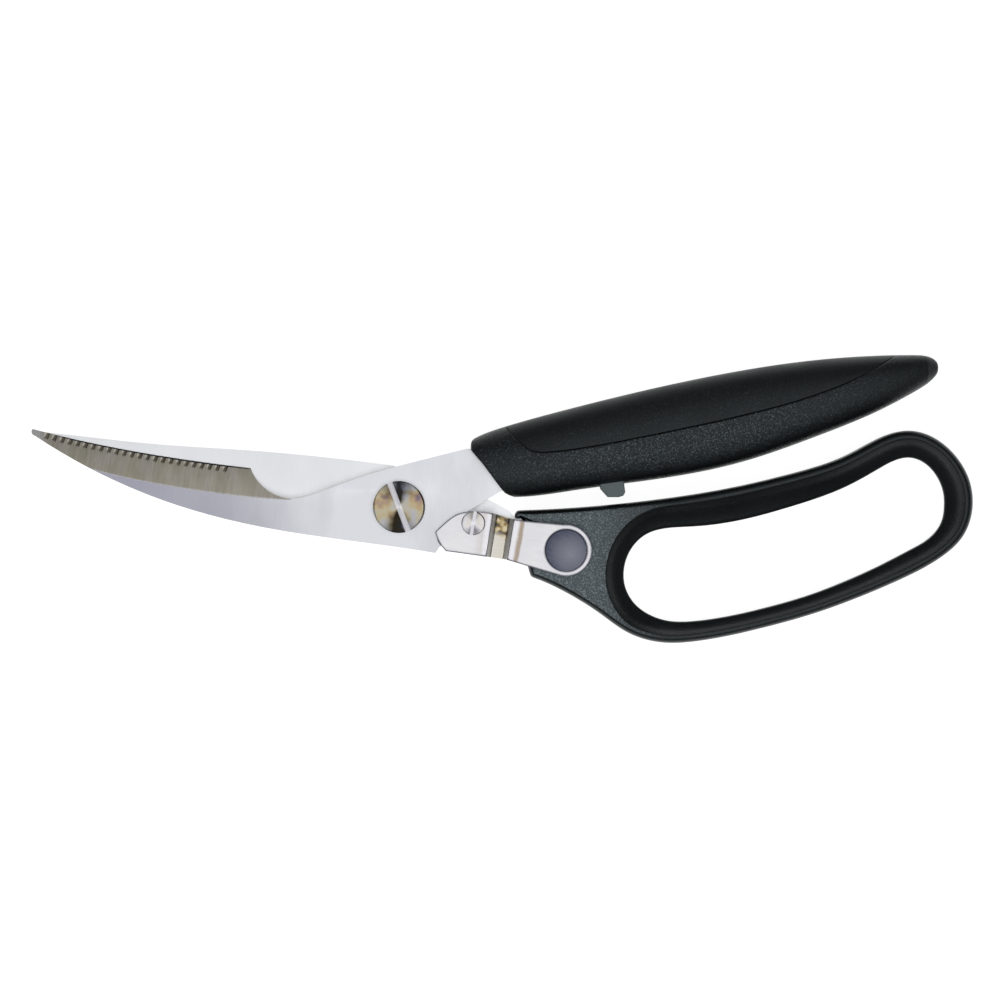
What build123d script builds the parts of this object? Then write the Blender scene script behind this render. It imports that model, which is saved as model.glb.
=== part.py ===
from build123d import *
import os
from math import cos, pi, radians, sin

# Poultry shears, lying flat and closed, with the pivot axis along +Z.
# Millimetres.  +X runs from the blade tips to the handle ends, +Y points from
# the closed loop handle to the straight bar handle, Z = 0 is the resting plane.
# The origin is the middle of the overall length and width.

# ---------------------------------------------------------------- driving sizes
half_length = 125.0            # the shears are 250 mm long
pivot_x, pivot_y = -27.3, -2.2
lever_x, lever_y = -7.6, -6.5  # pivot of the locking lever
closing_slack = 1.5            # degrees the blades can close past rest
opening_angle = 35.0           # degrees from rest to fully open

blade_thickness = 3.2
rear_bottom = 4.4
rear_top = rear_bottom + blade_thickness
shear_gap = 0.05
front_bottom = rear_top + shear_gap
front_top = front_bottom + blade_thickness
edge_thickness = 0.5           # metal left at a ground cutting edge
past = 1.0                     # how far a cutter runs beyond the faces it cuts
tang_hole_radius = 2.0         # holes that the handle plastic flows through
rear_tang_hole_radius = 1.8

screw_head_radius = 6.9
screw_head_height = 2.1
screw_head_chamfer = 0.45
shank_radius = 4.0
thread_radius = 3.0
running_clearance = 0.05
screw_slot_width = 1.5
screw_slot_depth = 1.1
thread_end = 0.4               # height of the screw's lower end
screw_slot_angle = -69.0
nut_height = 3.2
nut_across_flats = 10.0
washer_thickness = 0.7
washer_radius = 6.4
washer_clearance = 0.2         # round the screw's thread

spring_wire = 1.2
spring_radius = 7.5            # centre line of the coil
spring_turns = 1.5
spring_pitch = 1.3
recess_inner, recess_outer = 6.6, 8.5
recess_depth = 1.7
leg_depth = 0.9
leg_clearance = 0.1
leg_slimming = 0.02            # the wire is this much thinner in radius past each bend

stop_radius = 12.5             # distance of the stop pin from the pivot
stop_angle = 200.0
stop_pin_radius = 1.25
stop_pin_rise = 1.5            # into the front blade's groove
stop_pin_set_back = 0.1        # from the rear blade's lower face
stop_groove_depth = 1.8
stop_groove_clearance = 0.2
stop_groove_spare = 0.6        # degrees of groove left at each end of the travel

strap_thickness = 1.2
strap_bottom = 11.1
strap_top = strap_bottom + strap_thickness
bend_radius = 0.5
valley_bottom = 8.0
valley_tilt = 9.0              # degrees the bends lean from the Y direction
valley_centre = (-0.5, -10.0)
nose_radius = 10.35            # nose of the lever, about its own pivot
heel_gap = 0.2
tooth_start, tooth_end = 220.0, 227.0
tooth_depth = 2.85
lever_shank_radius = 1.5
lever_head_radius = 3.15
lever_head_bottom = strap_top + 0.35
lever_head_top = lever_head_bottom + 1.1
lever_head_chamfer = 0.3
lever_slot_width = 0.9
lever_slot_depth = 0.6
lever_slot_angle = 80.0
lever_shank_set_back = 0.2     # from the rear blade's lower face
lever_bush_radius = 2.2
lever_washer_radius = 2.8
thumb_x, thumb_y = 17.0, -13.7
thumb_end_radius = 6.85
thumb_button_radius = 5.57
thumb_button_height = 1.8
thumb_button_rounding = 0.3

bar_thickness = 16.0
loop_thickness = 12.0
bumper_bottom, bumper_top = 5.0, 11.0
root_top = 10.8                # flat of the loop handle under the lever
root_flat_end = 27.0           # X where the flat steps up to the full thickness
outer_rounding, inner_rounding = 1.8, 1.4

serration_count = 24
serration_pitch_x = 2.06
first_serration_x = -120.5
serration_radius = 0.5
serration_height = 0.62        # groove axis above the blade's inner face, at the edge
serration_reach = 1.55         # from the edge to where a groove's round end begins
serration_run_out = 4.0        # length of the cutter outside the edge
serration_tilt = 22.0          # degrees the grooves rise from the edge
serration_lean = 20.0          # degrees the grooves lean from the Y direction

os.makedirs("parts", exist_ok=True)


# ---------------------------------------------------------------- small helpers
def prism(outline, bottom, top):
    """Solid between two heights over a closed outline."""
    face = make_face(outline)
    return Pos(0, 0, bottom) * extrude(face, top - bottom, dir=(0, 0, 1))


def disc(x, y, radius, bottom, top):
    """Upright round solid."""
    centre = Pos(x, y, (bottom + top) / 2)
    return centre * Cylinder(radius, top - bottom)


def ring(x, y, inner, outer, bottom, top):
    """Upright round solid with a hole."""
    return disc(x, y, outer, bottom, top) - disc(x, y, inner, bottom, top)


def about(x, y, radius, degrees):
    """Point on a circle about (x, y)."""
    turn = radians(degrees)
    return (x + radius * cos(turn), y + radius * sin(turn))


def bevel_cutter(edge, boundary, low, high):
    """Wedge that grinds a blade from its flat down to its cutting edge.

    edge and boundary give matching points along the blade; low is the height
    left at the edge and high is the height of the flat.
    """
    sections = []
    for (x, edge_y), (_, flat_y) in zip(edge, boundary):
        slope = (low - high) / (edge_y - flat_y)
        reach = 3.0 if edge_y > flat_y else -3.0
        far = (x, edge_y + reach, low + slope * reach)
        back = (x, flat_y - reach, high - slope * reach)
        clear = 4.0 if high > low else -4.0
        far_up = (x, edge_y + reach, high + clear)
        back_up = (x, flat_y - reach, high + clear)
        sections.append(make_face(Polyline(far, back, back_up, far_up, close=True)))
    return loft(sections)


# ---------------------------------------------------------------- front half
edge_start = (-124.75, 18.55)
edge_end = (-66.8, 8.1)


def serrated_edge():
    """Cutting edge of the front blade, from the tip to the bone notch."""
    return Spline(edge_start, (-112.8, 15.6), (-92.7, 11.7), edge_end)


def front_outline():
    """Serrated blade, bone notch, heel that meets the lever, and tang."""
    notch = Spline(edge_end, (-63.1, 2.8), (-56.5, 0.0), (-47.8, 2.0), (-36.1, 6.2),
                   (-21.2, 10.3), (-9.3, 13.3))
    tang_top = Polyline((-9.3, 13.3), (0.0, 13.0), (14.0, 10.6), (50.0, 16.6))
    tang_end = ThreePointArc((50.0, 16.6), (53.4, 14.4), (51.0, 11.2))
    tang_low = Polyline((51.0, 11.2), (14.0, 5.2), (-0.5, 1.9), (-3.8, -0.1), (-12.2, -5.3), (-14.8, -8.2))
    arc_radius = nose_radius + heel_gap
    catch_top = about(lever_x, lever_y, arc_radius, 204.0)
    catch_mid = about(lever_x, lever_y, arc_radius, 210.0)
    catch_low = about(lever_x, lever_y, arc_radius, 216.0)
    to_catch = Line((-14.8, -8.2), catch_top)
    catch = ThreePointArc(catch_top, catch_mid, catch_low)
    heel = Polyline(catch_low, (-16.6, -12.8), (-17.7, -14.4))
    spine = Spline((-17.7, -14.4), (-37.5, -11.5), (-56.5, -8.8), (-73.7, -5.3), (-92.7, 0.6),
                   (-109.0, 7.9), (-124.1, 16.75))
    tip = ThreePointArc((-124.1, 16.75), (-half_length, 17.9), edge_start)
    return serrated_edge() + notch + tang_top + tang_end + tang_low + to_catch + catch + heel + spine + tip


def serrations():
    """Small round-ended grooves ground across the bevel at the front blade's edge."""
    edge_line = serrated_edge()
    turn = Rot(0, 0, -serration_lean) * Rot(90 - serration_tilt, 0, 0)
    length = serration_reach + serration_run_out
    stem = Pos(0, 0, serration_reach - length / 2) * Cylinder(serration_radius, length)
    cutter = stem + Pos(0, 0, serration_reach) * Sphere(serration_radius)
    grooves = []
    for index in range(serration_count):
        x = first_serration_x + index * serration_pitch_x
        share = (x - edge_start[0]) / (edge_end[0] - edge_start[0])
        y = (edge_line @ share).Y
        place = Pos(x, y, front_bottom + serration_height)
        grooves.append(place * turn * cutter)
    return grooves


def front_blade():
    """Upper blade with the serrated edge, and its tang inside the bar handle."""
    blade = prism(front_outline(), front_bottom, front_top)
    edge = [(-132.0, 20.4), (-112.8, 15.6), (-92.7, 11.7), (-78.0, 9.6), (-66.8, 8.1), (-56.0, 6.9)]
    flat = [(-132.0, 15.4), (-112.8, 8.9), (-92.7, 4.1), (-78.0, 1.75), (-66.8, 0.4), (-56.0, -0.3)]
    blade -= bevel_cutter(edge, flat, front_bottom + edge_thickness, front_top)
    below = front_bottom - past
    above = front_top + past
    blade -= disc(pivot_x, pivot_y, shank_radius + running_clearance, below, above)
    recess_top = front_bottom + recess_depth
    blade -= ring(pivot_x, pivot_y, recess_inner, recess_outer, below, recess_top)
    leg_x, leg_y = about(pivot_x, pivot_y, spring_radius, 360 * spring_turns)
    leg_hole = spring_wire / 2 + leg_clearance
    blade -= disc(leg_x, leg_y, leg_hole, front_bottom, recess_top + leg_depth + leg_clearance)
    blade -= stop_groove()
    for hole_x, hole_y in ((22.0, 9.2), (38.0, 12.0)):
        blade -= disc(hole_x, hole_y, tang_hole_radius, below, above)
    for groove in serrations():
        blade -= groove
    return blade


def stop_groove():
    """Blind arc in the front blade's inner face, for the stop pin."""
    start = stop_angle - opening_angle - stop_groove_spare
    end = stop_angle + closing_slack + stop_groove_spare
    half_width = stop_pin_radius + stop_groove_clearance
    below = front_bottom - past
    top = front_bottom + stop_groove_depth
    groove = ring(pivot_x, pivot_y, stop_radius - half_width, stop_radius + half_width, below, top)
    far = 4 * stop_radius
    sector = Polyline((pivot_x, pivot_y), about(pivot_x, pivot_y, far, start),
                      about(pivot_x, pivot_y, far, end), close=True)
    groove &= prism(sector, below, top)
    for angle in (start, end):
        x, y = about(pivot_x, pivot_y, stop_radius, angle)
        groove += disc(x, y, half_width, below, top)
    return groove


# stations along the bar handle: x, lower y, upper y, share of the full thickness
bar_stations = [
    (-11.0, 1.0, 15.0, 0.80),
    (2.0, 0.4, 19.6, 0.88),
    (20.0, 2.3, 24.5, 0.96),
    (42.0, 5.3, 29.8, 0.985),
    (64.0, 9.8, 34.2, 0.985),
    (84.0, 16.7, 37.0, 0.94),
    (100.0, 23.3, 38.1, 0.80),
    (109.5, 28.3, 38.25, 0.58),
    (114.2, 31.5, 37.5, 0.34),
]
bar_tip = (115.9, 33.6, 35.9, 0.14)
section_points = 12
section_power = 0.8            # 1 would be an ellipse; less is squarer


def bar_section(x, low, high, share):
    """Rounded section of the bar handle, flatter than an ellipse."""
    middle_y = (low + high) / 2
    half_y = (high - low) / 2
    middle_z = bar_thickness / 2
    half_z = share * bar_thickness / 2
    points = []
    for index in range(section_points):
        turn = 2 * pi * index / section_points
        across = abs(cos(turn)) ** section_power * (1 if cos(turn) >= 0 else -1)
        up = abs(sin(turn)) ** section_power * (1 if sin(turn) >= 0 else -1)
        points.append((x, middle_y + half_y * across, middle_z + half_z * up))
    return make_face(Spline(points, periodic=True))


def bar_body():
    """Whole bar handle before it is parted, cut off slantwise at the blade."""
    sections = [bar_section(*station) for station in bar_stations + [bar_tip]]
    body = loft(sections)
    front_end = Polyline((-8.5, 20.0), (-8.5, 13.2), (-4.8, 8.9), (-1.1, 3.8), (1.2, 0.9),
                         (3.0, -3.0), (-20.0, -3.0), (-20.0, 20.0), close=True)
    return body - prism(front_end, -past, bar_thickness + past)


def grip_region():
    """Everything on the palm side of the parting line."""
    front = (1.8, 18.0)
    back = (106.5, 39.5)
    parting = Spline(front, (4.1, 15.5), (7.6, 12.8), (13.2, 12.4), (33.1, 15.5),
                     (52.5, 19.5), (72.7, 24.3), (97.9, 33.9), back)
    rest = Polyline(back, (106.5, 50.0), (1.8, 50.0), front)
    return prism(parting + rest, -past, bar_thickness + past)


def handle_bumper():
    """Small tab that stops the bar handle on the loop handle."""
    outline = Polyline((25.6, 5.8), (26.1, 2.6), (28.1, 0.4), (31.0, 0.4), (32.2, 0.8),
                       (32.7, 1.7), (32.2, 5.8), close=True)
    return prism(outline, bumper_bottom, bumper_top)


# ---------------------------------------------------------------- rear half
def rear_outline():
    """Plain blade, hinge area and the tang that runs into the loop handle."""
    spine = Spline((-124.2, 18.0), (-113.3, 16.8), (-94.1, 14.7), (-65.1, 12.7),
                   (-47.8, 11.1), (-29.4, 8.9))
    crotch = Polyline((-29.4, 8.9), (-22.0, 6.8), (-3.8, -0.1), (1.9, -3.2), (3.3, -4.8),
                      (9.0, -6.9), (27.0, -9.6))
    tang_end = ThreePointArc((27.0, -9.6), (29.4, -12.4), (27.0, -15.2))
    tang_low = Polyline((27.0, -15.2), (10.0, -16.6), (0.0, -14.6), (-12.0, -12.6),
                        (-20.0, -12.2), (-30.0, -12.2), (-38.0, -10.2), (-43.0, -7.2))
    edge = Spline((-43.0, -7.2), (-62.0, -2.2), (-80.0, 2.8), (-98.0, 8.0),
                  (-112.0, 12.6), (-123.9, 17.4))
    tip = ThreePointArc((-123.9, 17.4), (-124.45, 17.75), (-124.2, 18.0))
    return spine + crotch + tang_end + tang_low + edge + tip


def rear_blade():
    """Lower blade with the plain edge, and its tang inside the loop handle."""
    blade = prism(rear_outline(), rear_bottom, rear_top)
    edge = [(-132.0, 21.0), (-112.0, 12.6), (-98.0, 8.0), (-80.0, 2.8), (-62.0, -2.2), (-40.0, -8.0)]
    flat = [(-132.0, 24.5), (-112.0, 17.0), (-98.0, 12.8), (-80.0, 7.8), (-62.0, 2.6), (-40.0, -3.6)]
    blade -= bevel_cutter(edge, flat, rear_top - edge_thickness, rear_bottom)
    below = rear_bottom - past
    above = rear_top + past
    blade -= disc(pivot_x, pivot_y, shank_radius, below, above)
    recess_floor = rear_top - recess_depth
    blade -= ring(pivot_x, pivot_y, recess_inner, recess_outer, recess_floor, above)
    leg_x, leg_y = about(pivot_x, pivot_y, spring_radius, 0)
    leg_hole = spring_wire / 2 + leg_clearance
    blade -= disc(leg_x, leg_y, leg_hole, recess_floor - leg_depth - leg_clearance, rear_top)
    pin_x, pin_y = about(pivot_x, pivot_y, stop_radius, stop_angle)
    blade -= disc(pin_x, pin_y, stop_pin_radius, below, above)
    blade -= disc(lever_x, lever_y, lever_shank_radius, below, above)
    for hole_x, hole_y in ((13.0, -11.8), (22.5, -12.3)):
        blade -= disc(hole_x, hole_y, rear_tang_hole_radius, below, above)
    return blade


def loop_handle_solid():
    """Closed loop for the fingers, with a flat root that carries the tang."""
    rim = Spline((3.9, -3.1), (26.3, -1.8), (39.4, -0.4), (51.0, 1.2), (64.0, 3.6), (77.3, 6.8),
                 (91.8, 11.7), (100.0, 16.0), (106.3, 18.0), (111.4, 17.6), (117.4, 14.4), (121.5, 10.0),
                 (124.1, 4.9), (half_length, -0.6), (124.2, -6.1), (122.1, -10.4), (117.6, -14.8),
                 (106.3, -21.2), (95.4, -25.9), (84.0, -30.1), (70.0, -34.1), (57.0, -37.0), (50.3, -38.0),
                 (44.5, -38.3), (39.4, -37.7), (32.9, -35.3), (26.3, -30.7), (18.8, -25.9), (7.6, -20.7))
    left_end = Polyline((7.6, -20.7), (3.2, -4.4), (3.9, -3.1))
    opening = Spline([(32.4, -21.3), (32.8, -17.0), (34.9, -12.6), (38.7, -9.3), (43.5, -7.9),
                      (51.0, -7.4), (64.0, -5.6), (77.3, -2.0), (91.8, 3.3), (100.0, 7.8), (104.9, 10.3),
                      (108.5, 10.9), (112.2, 9.6), (115.5, 6.2), (117.3, 2.0), (117.6, -2.2), (116.9, -6.1),
                      (113.7, -10.4), (108.5, -13.6), (100.0, -18.0), (91.8, -21.7), (84.0, -24.8),
                      (70.0, -29.0), (57.0, -31.8), (50.3, -32.6), (44.5, -32.5), (39.4, -30.9),
                      (35.4, -28.0), (33.4, -25.0)], periodic=True)
    body = prism(rim + left_end, 0, loop_thickness)
    body = fillet(long_curves(body), outer_rounding)
    body -= prism(opening, -past, loop_thickness + past)
    inner = [edge for edge in long_curves(body) if 30 < edge.bounding_box().min.X < 34]
    body = fillet(inner, inner_rounding)
    lever_room = Polyline((0.0, -5.3), (5.4, -5.3), (6.2, -19.6), (4.0, -24.0), (0.0, -24.0),
                          close=True)
    body -= prism(lever_room, -past, loop_thickness + past)
    root_flat = Polyline((-11.0, 7.0), (root_flat_end, 7.0), (root_flat_end, -37.0), (-11.0, -37.0),
                         close=True)
    return body - prism(root_flat, root_top, loop_thickness + past)


def long_curves(body):
    """The long curved rim edges of a solid."""
    curves = body.edges().filter_by(GeomType.BSPLINE)
    return curves.filter_by(lambda edge: edge.length > 100)


# ---------------------------------------------------------------- pivot
def pivot_screw():
    """Slotted shoulder screw on which the two blades turn."""
    head_bottom = front_top + running_clearance
    head_top = head_bottom + screw_head_height
    head = disc(pivot_x, pivot_y, screw_head_radius, head_bottom, head_top)
    head = chamfer(head.edges().sort_by(Axis.Z)[-1:], screw_head_chamfer)
    place = Pos(pivot_x, pivot_y, head_top) * Rot(0, 0, screw_slot_angle)
    slot = place * Box(3 * screw_head_radius, screw_slot_width, 2 * screw_slot_depth)
    shank = disc(pivot_x, pivot_y, shank_radius, rear_bottom, head_bottom)
    thread = disc(pivot_x, pivot_y, thread_radius, thread_end, rear_bottom)
    return head - slot + shank + thread


def spring_washer():
    """Coned washer that keeps the blades pressed together."""
    inner = thread_radius + washer_clearance
    section = Polyline((inner, 0, nut_height), (inner, 0, nut_height + washer_thickness),
                       (washer_radius, 0, rear_bottom),
                       (washer_radius, 0, rear_bottom - washer_thickness), close=True)
    return Pos(pivot_x, pivot_y, 0) * revolve(make_face(section), Axis.Z)


def pivot_nut():
    """Six-sided nut under the rear blade; its lower face rests on the table."""
    radius = nut_across_flats / 2
    hexagon = RegularPolygon(radius, 6, major_radius=False)
    blank = Pos(pivot_x, pivot_y, 0) * extrude(hexagon, nut_height)
    return blank - disc(pivot_x, pivot_y, thread_radius, -past, nut_height + past)


def opening_spring():
    """Torsion coil in the recesses of both blades, with a leg in each."""
    rise = spring_turns * spring_pitch
    start_z = rear_top - recess_depth + spring_wire / 2 + leg_clearance
    wire = spring_wire / 2
    coil_path = Helix(spring_pitch, rise, spring_radius)
    start = coil_path @ 0
    profile = Plane(origin=start, z_dir=coil_path % 0) * Circle(wire)
    coil = Pos(pivot_x, pivot_y, start_z) * sweep(profile, coil_path, is_frenet=True)
    low_x, low_y = about(pivot_x, pivot_y, spring_radius, 0)
    high_x, high_y = about(pivot_x, pivot_y, spring_radius, 360 * spring_turns)
    low_end = rear_top - recess_depth - leg_depth
    high_end = front_bottom + recess_depth + leg_depth
    low_leg = disc(low_x, low_y, wire - leg_slimming, low_end, start_z)
    high_leg = disc(high_x, high_y, wire - leg_slimming, start_z + rise, high_end)
    low_elbow = Pos(low_x, low_y, start_z) * Sphere(wire)
    high_elbow = Pos(high_x, high_y, start_z + rise) * Sphere(wire)
    return coil + low_leg + high_leg + low_elbow + high_elbow


def stop_pin():
    """Dowel pressed into the rear blade that ends the opening travel."""
    x, y = about(pivot_x, pivot_y, stop_radius, stop_angle)
    return disc(x, y, stop_pin_radius, rear_bottom + stop_pin_set_back, front_bottom + stop_pin_rise)


# ---------------------------------------------------------------- locking lever
def lever_outline():
    """Plan of the stamped strap: nose, waist and round thumb end."""
    nose_top = about(lever_x, lever_y, nose_radius, 192.5)
    nose_mid = about(lever_x, lever_y, nose_radius, 209.0)
    nose_low = about(lever_x, lever_y, nose_radius, 225.5)
    end_top = about(thumb_x, thumb_y, thumb_end_radius, 95.0)
    end_right = (thumb_x + thumb_end_radius, thumb_y)
    end_low = about(thumb_x, thumb_y, thumb_end_radius, 255.0)
    upper = Spline(nose_top, (-14.8, -6.1), (-11.6, -4.0), (-7.6, -3.4), (-3.4, -3.7),
                   (2.0, -5.2), (8.0, -6.1), end_top)
    thumb_end = ThreePointArc(end_top, end_right, end_low)
    lower = Polyline(end_low, (9.0, -18.5), (1.0, -16.1), nose_low)
    nose = ThreePointArc(nose_low, nose_mid, nose_top)
    return upper + thumb_end + lower + nose


def lever_profile():
    """Side view of the strap: two flats joined by a square-bottomed dip."""
    lower = [(-24, strap_bottom), (-3.95, strap_bottom), (-2.95, valley_bottom), (2.95, valley_bottom),
             (3.95, strap_bottom), (32, strap_bottom)]
    upper = [(32, strap_top), (2.75, strap_top), (1.75, valley_bottom + strap_thickness),
             (-1.75, valley_bottom + strap_thickness), (-2.75, strap_top), (-24, strap_top)]
    face = Plane.XZ * make_face(Polyline(*lower, *upper, close=True))
    strip = extrude(face, 20, both=True)
    bends = strip.edges().filter_by(Axis.Y).filter_by(lambda e: abs(e.center().X) < 5)
    return fillet(bends, bend_radius)


def lock_lever():
    """Stamped strap with a tooth under its nose."""
    strip = Pos(valley_centre[0], valley_centre[1], 0) * Rot(0, 0, -valley_tilt) * lever_profile()
    below = valley_bottom - past
    above = strap_top + past
    strap = strip & prism(lever_outline(), below, above)
    strap += tooth_sector(nose_radius - tooth_depth, nose_radius)
    strap -= disc(lever_x, lever_y, lever_shank_radius + running_clearance, below, above)
    strap -= disc(thumb_x, thumb_y, thumb_button_radius, below, above)
    return strap


def tooth_sector(inner, outer):
    """Part of a ring about the lever's pivot, from the strap down beside the heel."""
    middle = (tooth_start + tooth_end) / 2
    inner_start, inner_middle, inner_end = [
        about(lever_x, lever_y, inner, angle) for angle in (tooth_start, middle, tooth_end)]
    outer_start, outer_middle, outer_end = [
        about(lever_x, lever_y, outer, angle) for angle in (tooth_start, middle, tooth_end)]
    outline = Line(inner_start, outer_start) + ThreePointArc(outer_start, outer_middle, outer_end)
    outline += Line(outer_end, inner_end) + ThreePointArc(inner_end, inner_middle, inner_start)
    return prism(outline, valley_bottom, strap_bottom)


def lever_screw():
    """Slotted screw that holds the lever on the rear tang."""
    head = disc(lever_x, lever_y, lever_head_radius, lever_head_bottom, lever_head_top)
    head = chamfer(head.edges().sort_by(Axis.Z)[-1:], lever_head_chamfer)
    place = Pos(lever_x, lever_y, lever_head_top) * Rot(0, 0, lever_slot_angle)
    slot = place * Box(3 * lever_head_radius, lever_slot_width, 2 * lever_slot_depth)
    shank = disc(lever_x, lever_y, lever_shank_radius, rear_bottom + lever_shank_set_back, lever_head_bottom)
    return head - slot + shank


def lever_bush():
    """Spacer that carries the lever above the front blade."""
    top = strap_bottom - running_clearance
    return ring(lever_x, lever_y, lever_shank_radius, lever_bush_radius, rear_top, top)


def lever_washer():
    """Thin washer under the lever screw's head."""
    bottom = strap_top + running_clearance
    return ring(lever_x, lever_y, lever_shank_radius, lever_washer_radius, bottom, lever_head_bottom)


def thumb_button():
    """Round pad set in the thumb end of the lever."""
    pad = disc(thumb_x, thumb_y, thumb_button_radius, strap_bottom, strap_bottom + thumb_button_height)
    return fillet(pad.edges().sort_by(Axis.Z)[-1:], thumb_button_rounding)


# ---------------------------------------------------------------- assembly
front = front_blade()
rear = rear_blade()
bumper = handle_bumper()
bar = bar_body()
palm_side = grip_region()

parts = {
    "front_blade": front,
    "rear_blade": rear,
    "bar_handle": bar - palm_side - front - bumper,
    "bar_grip": bar & palm_side,
    "handle_bumper": bumper,
    "loop_handle": loop_handle_solid() - rear,
    "pivot_screw": pivot_screw(),
    "pivot_nut": pivot_nut(),
    "spring_washer": spring_washer(),
    "opening_spring": opening_spring(),
    "stop_pin": stop_pin(),
    "lock_lever": lock_lever(),
    "thumb_button": thumb_button(),
    "lever_screw": lever_screw(),
    "lever_bush": lever_bush(),
    "lever_washer": lever_washer(),
}

for name, solid in parts.items():
    export_step(solid, "parts/" + name + ".step")
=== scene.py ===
from math import cos, pi, radians, sin, sqrt, tan

import bmesh
import bpy
import numpy as np
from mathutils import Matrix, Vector


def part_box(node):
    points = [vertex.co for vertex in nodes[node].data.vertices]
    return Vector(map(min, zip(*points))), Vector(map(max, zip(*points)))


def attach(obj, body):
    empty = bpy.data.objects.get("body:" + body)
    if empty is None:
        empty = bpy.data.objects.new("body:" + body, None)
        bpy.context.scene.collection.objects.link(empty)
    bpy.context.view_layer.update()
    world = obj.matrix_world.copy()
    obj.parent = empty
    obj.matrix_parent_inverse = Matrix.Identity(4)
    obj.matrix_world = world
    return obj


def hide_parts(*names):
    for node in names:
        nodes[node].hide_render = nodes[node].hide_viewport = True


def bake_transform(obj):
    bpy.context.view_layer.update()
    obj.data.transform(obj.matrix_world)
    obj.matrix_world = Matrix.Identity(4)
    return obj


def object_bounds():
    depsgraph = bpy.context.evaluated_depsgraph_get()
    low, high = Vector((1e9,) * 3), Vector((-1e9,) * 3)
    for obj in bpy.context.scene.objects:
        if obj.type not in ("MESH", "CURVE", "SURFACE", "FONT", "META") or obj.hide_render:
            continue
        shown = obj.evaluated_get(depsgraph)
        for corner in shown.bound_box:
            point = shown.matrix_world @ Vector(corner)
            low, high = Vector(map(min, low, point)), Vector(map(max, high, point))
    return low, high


# Poultry shears lying flat. Metres, in the frame of the CAD model: +X runs from
# the blade tips to the handle ends and Z = 0 is the table.
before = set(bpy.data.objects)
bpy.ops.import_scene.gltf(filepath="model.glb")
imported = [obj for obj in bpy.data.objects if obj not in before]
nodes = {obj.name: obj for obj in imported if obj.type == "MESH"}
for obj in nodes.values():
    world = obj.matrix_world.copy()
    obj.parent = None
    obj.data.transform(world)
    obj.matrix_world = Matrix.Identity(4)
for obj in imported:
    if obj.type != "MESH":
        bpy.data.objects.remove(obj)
cad_low, cad_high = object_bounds()
MM = 0.001

# ---------------------------------------------------------------- sizes
loop_stations = 620            # sections round the loop handle
loop_slice = 3.0 * MM          # height at which the loop's outlines are read
root_top = 10.8 * MM           # flat of the loop handle under the lever
root_end = 27.0 * MM           # X where that flat begins to rise
root_rise = 33.0 * MM          # length over which it reaches the full thickness
crest_inset = 1.6 * MM         # from the loop's outer edge to its crest line
crest_drop = 2.3 * MM          # height of the rounding outside the crest line
crest_land = 0.15 * MM         # least flat between crest line and slope
root_band = 5.0 * MM           # width of the slope round the finger opening, at the root
arm_band = 8.0 * MM            # most it may be in the arms
least_band = 1.2 * MM          # least it may be anywhere
steepest = 1.05                # its fall over its width
slope_sag = 0.10               # how far it hollows, as a share of its depth
least_wall = 0.9 * MM          # wall of the opening left above the loop's middle plane
bar_slice = 7.5 * MM           # height at which the bar's outlines are read
bar_middle = 8.0 * MM          # height of the bar handle's middle plane
bar_fullness = 2.25            # power of the bar's section, which is an ellipse at 2
bar_steps = 30                 # points across the bar's upper side
front_share = 0.16             # front part of the bar, where its stations stand closer
slant_share = 0.30             # part over which the stations turn from slanted to upright
bulge_share = 0.06             # part that follows the front end's own shape
lip_radius = 0.42 * MM         # rounding of the two plastics at their parting line
front_lip = 0.45 * MM          # rounding of the bar handle where the blade enters
corner_radius = 1.3 * MM       # palm-side corner of that end
insert_inset = 0.22 * MM       # how far the palm insert lies below the bar's surface
insert_start = 0.992           # highest share of a section at which the insert may start
insert_end = 0.9995            # share at which it ends
spring_wire = 0.6 * MM         # radius
spring_turns = 1.5
spring_pitch = 1.3 * MM
spring_leg = 1.6 * MM          # from the spring's lower end to the start of its coil
shaded_height = 10.8 * MM      # painted highlight on the handles' grain is gone below this height
lit_height = 14.4 * MM         # and is at full strength above this
front_fade = (0.0, 26.0 * MM)  # X between which that painted highlight grows along the front of the handles
rear_fade = (62.0 * MM, 100.0 * MM)   # and fades again toward their ends
root_fade = (24.0 * MM, 44.0 * MM)    # and the painted glare on the loop's flat root gives way to the arms
reflection_fade = (-100.0 * MM, -42.0 * MM)   # X between which the painted reflection on the front blade's flat grows paler
serration_count = 24
first_serration = -120.5 * MM
serration_pitch = 2.06 * MM
serration_lean = radians(20)
serration_solid = 1.45 * MM    # from the edge to where a serration's painted shade begins to fade
serration_reach = 1.80 * MM    # and to where it has gone
edge_first = -122.0 * MM       # X of the serrated edge's two ends
edge_last = -68.0 * MM
line_start = (-120.0 * MM, -114.0 * MM)   # X between which the painted shadow line along the edge sets in
line_end = (-67.5 * MM, -66.0 * MM)       # and stops
tip_point = -122.8 * MM        # a painted highlight makes the blade pale beyond this X
tip_start = -121.2 * MM
strap_centre = (-0.5 * MM, -10.0 * MM, 0)
strap_lean = radians(-9)       # of the lever's bends
strap_low = 11.9 * MM          # the lever's flats lie above this, its valley below
strap_high = 12.2 * MM
edge_shadow = 1.00 * MM        # reach of the painted shadow line round the strap's edge
sharp_angle = radians(32)      # of edges shown as creases on the finer pieces
softened_angle = radians(28)   # least angle of the CAD edges that are rounded


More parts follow.
